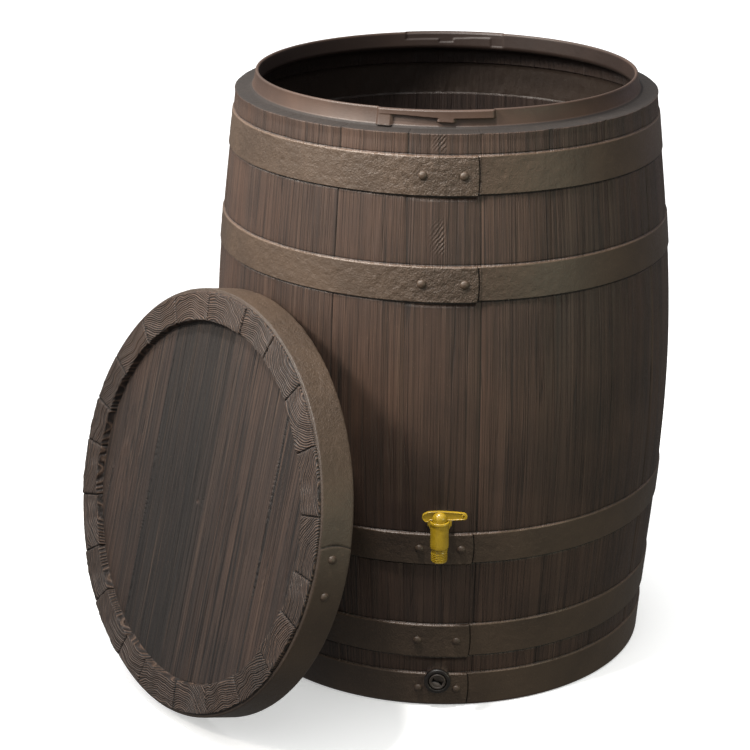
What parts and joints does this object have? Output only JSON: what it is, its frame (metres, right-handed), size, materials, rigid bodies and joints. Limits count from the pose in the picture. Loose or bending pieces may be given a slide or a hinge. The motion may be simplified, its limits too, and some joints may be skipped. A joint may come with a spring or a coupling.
{
  "type": "rain barrel",
  "caption": "Tall bellied water butt moulded to look like a wooden cask with riveted hoops, with a bayonet lid leaning on it, a front tap and a low drain plug",
  "frame": {"origin": "on the barrel's axis, at the flat underside of its base", "axes": "+Z is the barrel's axis, up through its mouth; -Y is the way the tap and drain face; +X is to the right seen from the tap's side"},
  "size_m": [1.0427, 1.0324, 1.03],
  "materials": {
    "barrel_brown": "satin moulded woodgrain and hammered bands",
    "tap_yellow": "smooth golden",
    "valve_white": "smooth",
    "fitting_brown": "smooth satin",
    "fitting_black": "satin",
    "seal_rubber": "matte"
  },
  "bodies": {
    "barrel": {"barrel_body": "barrel_brown", "tap_body": "tap_yellow", "tap_collar": "tap_yellow", "tap_seat_seal": "seal_rubber", "tap_outer_washer": "seal_rubber", "tap_inner_washer": "seal_rubber", "tap_lock_nut": "fitting_black", "drain_bush": "fitting_brown", "drain_gasket": "seal_rubber", "drain_inner_washer": "seal_rubber", "drain_lock_nut": "fitting_black"},
    "lid": {"lid": "barrel_brown"},
    "tap_handle": {"tap_lever": "tap_yellow", "tap_valve_plug": "valve_white", "tap_plug_seal_lower": "seal_rubber", "tap_plug_seal_upper": "seal_rubber"},
    "drain_seal": {"drain_plug_seal": "seal_rubber"},
    "drain_plug": {"drain_plug": "fitting_brown"}
  },
  "joints": [
    {"name": "lid_pull_away", "type": "slide", "parent": "barrel", "child": "lid", "axis": [-0.7853, -0.6191, 0], "range_m": [0, 0.5]},
    {"name": "tap_lever_turn", "type": "hinge", "parent": "barrel", "child": "tap_handle", "pos_m": [0, -0.445, 0.385], "axis": [0, 0, -1], "range_deg": [0, 90]},
    {"name": "drain_plug_travel", "type": "slide", "parent": "barrel", "child": "drain_seal", "axis": [0, -1, 0], "range_m": [0, 0.01275]},
    {"name": "drain_plug_turn", "type": "hinge", "parent": "drain_seal", "child": "drain_plug", "pos_m": [0, -0.38, 0.054], "axis": [0, -1, 0], "range_deg": [0, 2520]}
  ],
  "couplings": [
    {"joint": "drain_plug_travel", "follows": "drain_plug_turn", "m_per_rad": 0.00028871}
  ]
}
